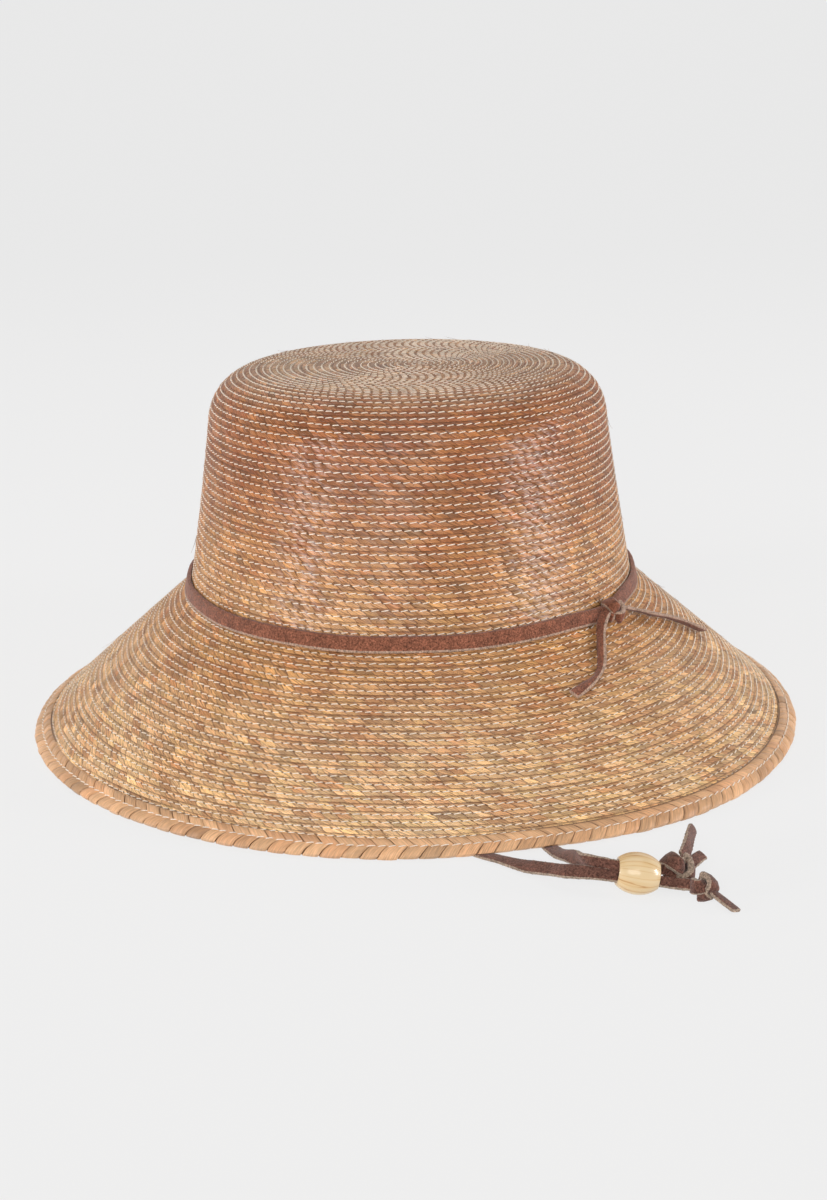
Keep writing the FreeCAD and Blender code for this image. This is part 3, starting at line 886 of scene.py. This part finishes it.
def suede_paint(name, nap, edge):
    """Suede: a granular nap on the flat sides, and paler fibres on the cut edges."""
    paint = Paint(name)
    place = paint.place()
    grain = paint.noise(place, 1500.0, 5.0, 0.75)
    cloud = paint.noise(place, 260.0, 3.0, 0.6)
    flat = paint.shaded(rgb(*nap), grain, 0.38, 0.64, 0.35, 1.75)
    flat = paint.shaded(flat, cloud, 0.35, 0.68, 0.80, 1.22)
    side = paint.shaded(rgb(*edge), grain, 0.38, 0.64, 0.35, 1.55)
    colour = paint.mix(paint.attribute("cut"), flat, side)
    roughness = paint.fit(grain, 0.3, 0.7, 0.86, 0.98)
    sheen = {"Sheen_Weight": 0.25, "Sheen_Roughness": 0.45, "Specular_IOR_Level": 0.2}
    return paint.finish(colour, roughness, paint.bump(grain, 0.22 * MM), **sheen)


BEAD_STOPS = [
    (0.28, (0.74, 0.53, 0.27)),
    (0.42, (0.76, 0.56, 0.30)),
    (0.505, (0.73, 0.51, 0.25)),
    (0.525, (0.52, 0.26, 0.08)),
    (0.545, (0.74, 0.53, 0.27)),
    (0.66, (0.77, 0.59, 0.34)),
]


def bead_paint():
    """Varnished wood: thin dark growth rings along the bead."""
    paint = Paint("turned bead")
    grain = paint.attribute("grain", "Vector")
    lines = paint.noise(grain, 1.0, 2.0, 0.4)
    broad = paint.fit(paint.noise(grain, 0.33, 2.0), 0.45, 0.7, 0.0, 0.45)
    colour = paint.mix(broad, paint.ramp(lines, BEAD_STOPS), rgb(0.80, 0.65, 0.41))
    # Painted shade from the shade attribute: on the lips and inside the hole.
    colour = paint.scaled(colour, paint.attribute("shade"))
    roughness = paint.fit(lines, 0.3, 0.7, 0.28, 0.42)
    coat = {"Coat_Weight": 0.6, "Coat_Roughness": 0.10, "Specular_IOR_Level": 0.45}
    return paint.finish(colour, roughness, paint.bump(lines, 0.04 * MM), **coat)


def cloth_paint():
    paint = Paint("sweatband cloth")
    place = paint.place()
    weave = paint.noise(place, 1900.0, 3.0, 0.6)
    stops = [(0.30, (0.40, 0.31, 0.21)), (0.55, (0.60, 0.49, 0.35)), (0.75, (0.70, 0.60, 0.45))]
    colour = paint.ramp(weave, stops)
    colour = paint.shaded(colour, paint.noise(place, 45.0, 3.0), 0.35, 0.7, 1.05, 0.86)
    # Painted shade from the shade attribute, across the ribs.
    colour = paint.scaled(colour, paint.attribute("shade"))
    return paint.finish(colour, paint.fit(weave, 0.3, 0.7, 0.82, 0.95), paint.bump(weave, 0.10 * MM))


def fibre_paint():
    paint = Paint("stray fibre")
    place = paint.place()
    stops = [(0.35, (0.16, 0.07, 0.03)), (0.52, (0.42, 0.22, 0.10)), (0.65, (0.66, 0.44, 0.25))]
    colour = paint.ramp(paint.noise(place, 90.0), stops)
    return paint.finish(colour, paint.fit(paint.noise(place, 900.0), 0.3, 0.7, 0.4, 0.6))


STRAW = straw_paint()
EDGE = edge_paint()
THREAD = thread_paint()
BAND_SUEDE = suede_paint("hatband suede", (0.235, 0.088, 0.050), (0.44, 0.30, 0.22))
LACE_SUEDE = suede_paint("lace suede", (0.155, 0.070, 0.050), (0.38, 0.285, 0.215))
BEAD_WOOD = bead_paint()
CLOTH = cloth_paint()
FIBRE = fibre_paint()


def paint_all(material, *pieces):
    """Give a material to pieces that were made before it."""
    for piece in pieces:
        piece.data.materials.append(material)


paint_all(LACE_SUEDE, chin_lace_left, chin_lace_right, anchor_knot_left, anchor_knot_right)
paint_all(LACE_SUEDE, stopper_knot_left, stopper_knot_right)
paint_all(LACE_SUEDE, stopper_tail_long, stopper_tail_short, stopper_tail_end)
paint_all(BAND_SUEDE, hatband_tail_front, hatband_tail_side, hatband_knot)

# ---- Straw pieces ----

rng = np.random.default_rng(5)
TIP_ANGLE = math.radians(50)  # how far round the top edge the tip reaches
TIP_DOWN = down_to(CROWN_TOP_Z - TOP_ROUND * (1 - math.cos(TIP_ANGLE)))
WALL_HALF_DOWN = (TIP_DOWN + BASE_DOWN) / 2
WALL_FOOT_DOWN = BASE_DOWN + 0.3 * ROW
BRIM_HALF_DOWN = BASE_DOWN + 0.56 * (EDGE_DOWN - BASE_DOWN)
BRIM_END_DOWN = EDGE_DOWN + 2.0 * ROW  # the last rows lie under the edge braid and have no stitches
stretches = {
    "tip": (SPIRAL.walked[0], SPIRAL.along(TIP_DOWN)),
    "upper_wall": (SPIRAL.along(TIP_DOWN), SPIRAL.along(WALL_HALF_DOWN)),
    "lower_wall": (SPIRAL.along(WALL_HALF_DOWN), SPIRAL.along(WALL_FOOT_DOWN)),
    "upper_brim": (SPIRAL.along(WALL_FOOT_DOWN), SPIRAL.along(BRIM_HALF_DOWN)),
    "lower_brim": (SPIRAL.along(BRIM_HALF_DOWN), SPIRAL.along(BRIM_END_DOWN)),
}
LAST_STITCH = SPIRAL.along(EDGE_DOWN + 1.15 * ROW)
braids, stitches = {}, {}
for name, (start, end) in stretches.items():
    braids[name] = braid_ribbon(name + "_braid", start, end, rng)
    stitches[name] = row_stitches(name + "_stitches", start, min(end, LAST_STITCH), rng)


# ---- Edge braid ----

START_Z = BASE_Z * (1 - EDGE_START)
EDGE_FOLD = 2.6 * MM  # how far under its start the braid ends, once folded round the rim
RIM_SECTION = [(1.9, 2.7), (1.0, 1.7), (1.5, 0.8), (4.0, 0.8)]  # mm in from the rim, mm up
EDGE_RINGS = [
    (*brim_oval(EDGE_START), START_Z),
    *((RIM_X - inset * MM, RIM_Y - inset * MM, z * MM) for inset, z in RIM_SECTION),
    (*brim_oval(EDGE_START), START_Z - EDGE_FOLD),
]
EDGE_PATH = RingPath(np.array(EDGE_RINGS), 0.1 * MM, 5)
EDGE_MIDDLE = 4.0 * MM  # the stitch line
EDGE_TURN = RIM_X + 0.7 * MM  # the rim's mean radius
BLOCKS = 150  # cushions in each row
BLOCK_LENGTH = math.tau / BLOCKS


def on_edge(along, across, out):
    """Points on the edge braid. along is an angle here; across runs from its inner edge round the rim."""
    along, across, out = np.broadcast_arrays(along, across, out)
    points = EDGE_PATH.point(across, along, out)
    points[..., 2] += ARCH_PINCH * arch_share(along) * np.clip(1 - points[..., 2] / EDGE_THICK, 0, 1)
    return bend(points, np.full(along.shape, PROFILE.total), along)


def edge_blocks(first, last, lean, thick, tuck, rng):
    """One row of the edge braid's herringbone, as closed cushions between two lines of its section.

    lean is how far a cushion's far side is turned on round the rim, for each metre across. tuck is how much
    deeper the row's first line lies than its middle.
    """
    share_along = np.array([0.0, 0.05, 0.30, 0.70, 0.95, 1.0])
    rise_along = np.array([0.0, 0.75, 0.95, 1.0, 0.8, 0.0])
    top_rows = max(6, round((last - first) / (0.9 * MM)))
    across_top = np.linspace(0, 1, top_rows)
    rise_across = 1 - np.abs(2 * across_top - 1) ** 5
    across = np.concatenate([across_top, [0.75, 0.25]])
    starts = np.arange(BLOCKS) * BLOCK_LENGTH + rng.normal(0, 0.05, BLOCKS) * BLOCK_LENGTH
    lengths = np.append(np.diff(starts), starts[0] + math.tau - starts[-1])
    lengths = lengths * rng.uniform(0.985, 1.03, BLOCKS)
    heights = thick * rng.uniform(0.75, 1.15, BLOCKS)
    reach = rng.normal(0, 0.25 * MM, BLOCKS)
    slope = lean * (across * (last - first)) / EDGE_TURN
    along = starts[:, None, None] + lengths[:, None, None] * share_along[None, :, None] + slope
    end = last + reach[:, None, None] * (0 if last < EDGE_PATH.total / 2 else 1)
    place_across = first + (end - first) * across + 0 * along
    rise = rise_along[:, None] * np.concatenate([rise_across, [0, 0]])[None, :]
    out = heights[:, None, None] * (0.55 + 0.45 * rise)[None] - 0.22 * MM * (1 - rise)[None]
    out -= tuck * np.clip(1 - 2 * across, 0, 1) ** 2
    out[..., top_rows:] = -0.45 * MM
    points = on_edge(along, place_across, out)
    sides, caps = many_tubes(BLOCKS, len(share_along), len(across))
    strand = np.stack([(along - slope) * EDGE_TURN, place_across, 0 * along], axis=-1)
    # Painted shade: darker towards each cushion's ends, where it meets the next.
    shade = 0.38 + 0.62 * np.minimum(1, rise_along[:, None] * 1.25 + 0 * along)
    per_block = len(sides) // BLOCKS
    tones, hues = rng.normal(0, 1, BLOCKS), rng.uniform(0, 1, BLOCKS)
    return {
        "points": points.reshape(-1, 3),
        "faces": sides + caps,
        "tone": np.concatenate([np.repeat(tones, per_block), np.repeat(tones, 2)]),
        "hue": np.concatenate([np.repeat(hues, per_block), np.repeat(hues, 2)]),
        "strand": strand.reshape(-1, 3),
        "shade": shade.reshape(-1),
    }


def edge_core():
    """The braid's inner layers, seen in the gaps between the cushions."""
    columns = 480
    across = np.linspace(0.3 * MM, EDGE_PATH.total - 0.2 * MM, 26)
    angle = angles(columns)[:, None]
    points = on_edge(angle, across, -0.30 * MM)
    faces = ring_faces(columns, len(across))
    strand = np.stack(np.broadcast_arrays(angle * EDGE_TURN, across, 0.0), axis=-1)
    return {
        "points": points.reshape(-1, 3),
        "faces": faces.tolist(),
        "tone": np.zeros(len(faces)),
        "hue": np.full(len(faces), 0.8),
        "strand": strand.reshape(-1, 3),
        # Painted shade: the core, seen only in the gaps between cushions, is darkened all over.
        "shade": np.full(columns * len(across), 0.40),
    }


def edge_mesh():
    """The core and both rows of cushions as one mesh."""
    overlap, clear = 0.1 * MM, 1.0 * MM
    upper = edge_blocks(0.8 * MM, EDGE_MIDDLE + overlap, 1.0, 0.75 * MM, 0.30 * MM, rng)
    lower = edge_blocks(EDGE_MIDDLE - overlap, EDGE_PATH.total - clear, -0.75, 0.85 * MM, 0.0, rng)
    parts = [edge_core(), upper, lower]
    points, faces = joined([(part["points"], part["faces"]) for part in parts])
    piece = new_mesh("rim_braid", points, faces, EDGE)
    for key in ("tone", "hue", "strand", "shade"):
        set_values(piece, **{key: np.concatenate([part[key] for part in parts])})
    return piece


edge_braid = edge_mesh()


def edge_stitches():
    """The line of stitches that holds the edge braid."""
    starts = np.arange(0, math.tau, 3.6 * MM / EDGE_TURN)
    starts = starts + rng.normal(0, 0.12 * MM, len(starts)) / EDGE_TURN
    lengths = rng.normal(3.0 * MM, 0.15 * MM, len(starts)) / EDGE_TURN
    slants = rng.normal(0.55 * MM, 0.2 * MM, len(starts))

    def place(along, across, out):
        return on_edge(along, EDGE_MIDDLE + across, 0.42 * MM + out)

    return new_mesh("rim_stitches", *stitch_tubes(starts, lengths, slants, 5, place), THREAD)


rim_stitches = edge_stitches()


# ---- Hatband ----


def round_crown(reach, angle, z):
    """Points on the crown's oval, reach from its middle along X, at a height and an angle from +X."""
    x = reach * np.cos(angle)
    y = (reach + CROWN_BASE_Y - CROWN_BASE_X) * np.sin(angle)
    return np.stack([x, y, z], axis=-1)


KNOT_ANGLE, KNOT_PULL = math.radians(-37), math.radians(8)  # the knot's place and how far round it pulls


def hatband_mesh():
    """The lace round the crown's foot: it stands on its edge and leans against the crown."""
    columns = 700
    angle = angles(columns)[:, None]
    foot = CROWN_BASE_X
    top = wall_half(61.3 * MM)
    corners = np.array(
        [
            (foot + 2.6 * MM, 55.7 * MM),
            (top + 2.0 * MM, 61.2 * MM),
            (top + 0.45 * MM, 61.3 * MM),
            (foot + 1.0 * MM, 56.7 * MM),
        ]
    )
    section, cut = [], []
    corners_after = np.roll(corners, -1, axis=0)
    for corner, after, steps, is_cut in zip(corners, corners_after, (8, 3, 8, 3), (0, 0, 0, 1)):
        for share in (np.arange(steps) + 0.25) / (steps - 0.5):
            section.append(corner + (after - corner) * share)
            cut.append(is_cut or len(cut) == 0)
    section = np.array(section)
    rows = len(section)
    noise = np.random.default_rng(8).normal(0, 0.05 * MM, (columns, rows))
    bow = 0.18 * MM * np.sin(3 * angle + 0.5) + 0.12 * MM * np.sin(11 * angle)
    pulled = 1.2 * MM * hump(angle, KNOT_ANGLE, KNOT_PULL)  # the knot pulls the lace down and out
    reach = section[:, 0] + noise + pulled + 0.10 * MM * np.sin(17 * angle)
    points = round_crown(reach, angle, section[:, 1] + bow - pulled + noise[:, ::-1])
    piece = new_mesh("hatband_lace", points.reshape(-1, 3), ring_faces(columns, rows).tolist(), BAND_SUEDE)
    set_values(piece, cut=np.tile(cut, columns))
    return piece


hatband_lace = hatband_mesh()


# ---- Bead ----


def bead_mesh():
    """A turned barrel with a round hole, its mouths slightly dished."""
    half, middle, end, hole = 6.6, 6.7, 4.6, 3.6
    z = np.linspace(-half + 0.35, half - 0.35, 30)
    bulge = np.sqrt(np.clip(1 - (z / (half * 1.36)) ** 2, 0, 1))
    outside = np.stack([end + (middle - end) * (bulge - bulge[0]) / (1 - bulge[0]), z], axis=1)
    lip = [(end - 0.15, half - 0.08), (end - 0.45, half), (hole + 0.35, half - 0.02), (hole, half - 0.4)]
    lip = np.array(lip)
    inside = np.stack([np.full(8, hole), np.linspace(half - 1.2, -half + 1.2, 8)], axis=1)
    other_lip = lip[::-1] * np.array([1, -1])
    section = np.concatenate([outside, lip, inside, other_lip])
    rows, columns = len(section), 96
    angle = angles(columns)[:, None]
    reach, height = section.T
    axes = np.broadcast_arrays(reach * np.cos(angle), reach * np.sin(angle), height)
    local = np.stack(axes, axis=-1).reshape(-1, 3)
    turn = Vector(BEAD_AXIS).to_track_quat("Z", "Y").to_matrix()
    points = (local @ np.array(turn).T + BEAD_CENTRE) * MM
    piece = new_mesh("wooden_bead", points, ring_faces(columns, rows)[:, ::-1].tolist(), BEAD_WOOD)
    grain = 2.6 * unit(local * np.array([1.0, 1.0, 0.0])) + local * np.array([0, 0, 0.03])
    # Painted shade: darker on the lips and darkest inside the hole.
    shades = ((outside, 1.0), (lip, 0.86), (inside, 0.5), (other_lip, 0.86))
    shade = np.concatenate([np.full(len(part), value) for part, value in shades])
    set_values(piece, grain=grain, shade=np.tile(shade, columns))
    return piece


bead = bead_mesh()


# ---- Inside the crown ----


def sweatband_mesh():
    """A ribbed cloth band, sewn to the straw along its lower edge and standing a little clear above."""
    ribs = 520
    columns = ribs * 2
    angle = angles(columns)[:, None]
    low, seam, top = 57.4 * MM, 61.0 * MM, 83.8 * MM
    z = np.concatenate([[low, low + 1.6 * MM, seam, seam + 2 * MM], np.linspace(seam + 4 * MM, top, 8)])
    inset = np.interp(z, [low, seam, seam + 2 * MM, top], np.array([2.0, 2.0, 2.6, 2.7]) * MM)
    inner = np.stack([wall_half(z) - inset - 1.0 * MM, z], axis=1)
    outer = np.stack([wall_half(z) - inset, z], axis=1)
    section = np.concatenate([inner, outer[::-1]])
    rows = len(section)
    rib = 0.14 * MM * (np.arange(columns) % 2)[:, None]
    pucker = 0.25 * MM * np.sin(angle * 41) * np.clip((section[:, 1] - seam) / (8 * MM), 0, 1)
    height = section[:, 1] + 0.25 * MM * np.sin(angle * 23) * (section[:, 1] > seam)
    points = round_crown(section[:, 0] + rib + pucker, angle, height)
    piece = new_mesh("cloth_sweatband", points.reshape(-1, 3), ring_faces(columns, rows).tolist(), CLOTH)
    # Painted shade: every other column across the ribs is darker.
    set_values(piece, shade=np.tile([0.86, 1.0], ribs).repeat(rows))
    return piece


def sweatband_stitches():
    """The seam along the sweatband's foot, on its inner side."""
    around = math.tau * 92 * MM
    starts = np.arange(0, around, 3.2 * MM)
    lengths = np.full(len(starts), 2.5 * MM)
    slants = rng.normal(0, 0.1 * MM, len(starts))

    def place(along, across, out):
        angle = along / around * math.tau
        z = 59.2 * MM + across
        return round_crown(wall_half(z) - 3.1 * MM - out, angle, z)

    return new_mesh("sweatband_stitches", *stitch_tubes(starts, lengths, slants, 4, place), THREAD)


def anchor_tab(name, side, seed):
    """A cloth tab that hangs from the sweatband's foot."""
    x, top, foot = side * 84.6, 58.0, 42.2
    line = np.linspace((x, 0, top), (x, 0, foot), 24) * MM
    outwards = (side, 0, 0)
    tab = lace_strip(name, line, [(0, outwards), (1, outwards)], seed, 9 * MM, 1.3 * MM)
    set_values(tab, shade=np.ones(len(tab.data.vertices)))
    paint_all(CLOTH, tab)
    return tab


sweatband = sweatband_mesh()
sweatband_seam = sweatband_stitches()
anchor_tab_left = anchor_tab("left_anchor_cloth", -1, 21)
anchor_tab_right = anchor_tab("right_anchor_cloth", 1, 22)


# ---- Stray fibres ----


def stray_fibres():
    """Thin loose ends of palm leaf that stand a little off the braid."""
    count, rings, sides = 260, 7, 3
    down = rng.uniform(0.12, 0.985, count) * EDGE_DOWN
    heading = rng.normal(0, 0.6, count) + np.where(rng.uniform(size=count) < 0.3, 1.2, 0.0)
    length = rng.uniform(3, 11, count) * MM
    curl = rng.normal(0, 0.5, count)
    rise = rng.uniform(0.2, 1.5, count) * MM
    share = np.linspace(0, 1, rings)[None, :]
    radius = 0.10 * MM * (1 - 0.7 * share) * rng.uniform(0.6, 1.2, (count, 1))
    angle = rng.uniform(0, math.tau, count)
    bent = heading[:, None] + curl[:, None] * share
    step_along = np.cumsum(np.cos(bent), axis=1) * (length[:, None] / rings)
    step_down = np.cumsum(np.sin(bent), axis=1) * (length[:, None] / rings)
    out = 0.1 * MM + rise[:, None] * share**2
    ring_radius = np.interp(down, PROFILE.down, PROFILE.rings[0])[:, None]
    turn = np.arange(sides) * math.tau / sides
    all_down = (down[:, None] + step_down)[..., None] + radius[..., None] * np.cos(turn)
    all_angle = (angle[:, None] + step_along / ring_radius)[..., None] + 0 * turn
    all_out = out[..., None] + radius[..., None] * np.sin(turn)
    points = on_hat(all_down, all_angle, all_out).reshape(-1, 3)
    tubes, caps = many_tubes(count, rings, sides)
    return new_mesh("stray_fibres", points, tubes + caps, FIBRE)


fibres = stray_fibres()


# ---- Bodies and nodes ----

# Each body's pieces, with their finish and the node of the frame that they stand for.
LOOKS = {
    "hat": [
        (braids["tip"], "straw", "crown_tip"),
        (braids["upper_wall"], "straw", "crown_wall"),
        (braids["lower_wall"], "straw", "crown_wall"),
        (braids["upper_brim"], "straw", "brim"),
        (braids["lower_brim"], "straw", "brim"),
        (edge_braid, "straw_edge", "edge_braid"),
        (rim_stitches, "thread", "edge_thread"),
        (sweatband, "sweatband_cloth", "sweatband"),
        (sweatband_seam, "thread", None),
        (anchor_tab_left, "sweatband_cloth", "anchor_tab_left"),
        (anchor_tab_right, "sweatband_cloth", "anchor_tab_right"),
        (anchor_knot_left, "lace_leather", "anchor_knot_left"),
        (anchor_knot_right, "lace_leather", "anchor_knot_right"),
        (chin_lace_left, "lace_leather", "chin_lace_left"),
        (chin_lace_right, "lace_leather", "chin_lace_right"),
        (stopper_knot_left, "lace_leather", "stopper_knot_left"),
        (stopper_knot_right, "lace_leather", "stopper_knot_right"),
        (stopper_tail_long, "lace_leather", "stopper_tail_long"),
        (stopper_tail_short, "lace_leather", "stopper_tail_short"),
        (stopper_tail_end, "lace_leather", "stopper_tail_end"),
        (fibres, "straw", None),
        *((piece, "thread", None) for piece in stitches.values()),
    ],
    "hatband": [
        (hatband_lace, "hatband_leather", "hatband"),
        (hatband_knot, "hatband_leather", "hatband_knot"),
        (hatband_tail_front, "hatband_leather", "hatband_tail_front"),
        (hatband_tail_side, "hatband_leather", "hatband_tail_side"),
    ],
    "bead": [(bead, "bead_wood", "bead")],
}
for body, pieces in LOOKS.items():
    for piece, finish, node in pieces:
        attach(piece, body)
        if node:
            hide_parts(node)
        if piece is not fibres:
            piece.data.set_sharp_from_angle(angle=math.radians(55))


# ---- Light and floor ----


def lights():
    """Soft light from above and in front, and a low strip at each side for the sheen on the crown."""

    def panel(name, place, aim, size, power, colour):
        light = bpy.data.objects.new(name, bpy.data.lights.new(name, "AREA"))
        light.data.shape = "RECTANGLE"
        light.data.size, light.data.size_y = size
        light.data.energy = power
        light.data.color = colour
        facing = (Vector(aim) - Vector(place)).to_track_quat("-Z", "Y").to_matrix().to_4x4()
        light.matrix_world = Matrix.Translation(place) @ facing
        bpy.context.scene.collection.objects.link(light)

    panel("overhead", (0.0, -0.1, 1.5), (0, 0, 0), (1.4, 1.2), 5.4, (1.0, 0.985, 0.96))
    panel("front", (-0.25, -1.7, 0.9), (0, 0, 0.06), (1.4, 0.9), 14.6, (1.0, 0.98, 0.955))
    panel("left strip", (-1.15, -0.62, 0.26), (0, 0, 0.10), (0.25, 0.42), 6.2, (1.0, 0.93, 0.95))
    panel("right strip", (1.22, -0.36, 0.26), (0, 0, 0.10), (0.30, 0.42), 7.2, (1.0, 0.93, 0.95))


def studio():
    """A pale floor that curves up into a wall behind, and an even sky."""
    paint = Paint("studio floor")
    glow = paint.node("Emission", {"Color": rgb(0.873, 0.873, 0.873), "Strength": 1.0})
    soft = paint.noise(paint.place(), 3.0)
    roughness = paint.fit(soft, 0.3, 0.7, 0.8, 1.0)
    diffuse = paint.node("BsdfDiffuse", {"Color": rgb(0.80, 0.80, 0.80), "Roughness": roughness})
    both = paint.node("MixShader", {0: 0.12, 1: glow.outputs[0], 2: diffuse.outputs[0]})
    paint.node("OutputMaterial", {"Surface": both.outputs[0]})
    reach, curve_start, curve, top = 14.0, 2.0, 1.5, 4.5
    line = [(-reach, 0.0)]
    for turn in np.linspace(0, math.pi / 2, 24):
        line.append((curve_start + curve * math.sin(turn), curve * (1 - math.cos(turn))))
    line.append((curve_start + curve, top))
    points = np.array([(x, y, z) for y, z in line for x in (-reach, reach)])
    floor = new_mesh("floor", points, grid_faces(len(line), 2, close_rows=False)[:, ::-1].tolist(), paint.material)
    world = bpy.data.worlds.new("studio")
    world.use_nodes = True
    background = world.node_tree.nodes["Background"]
    background.inputs["Color"].default_value = (1.0, 1.0, 1.0, 1.0)
    background.inputs["Strength"].default_value = 0.18
    bpy.context.scene.world = world
    bpy.context.scene.view_settings.view_transform = "Standard"


lights()
studio()
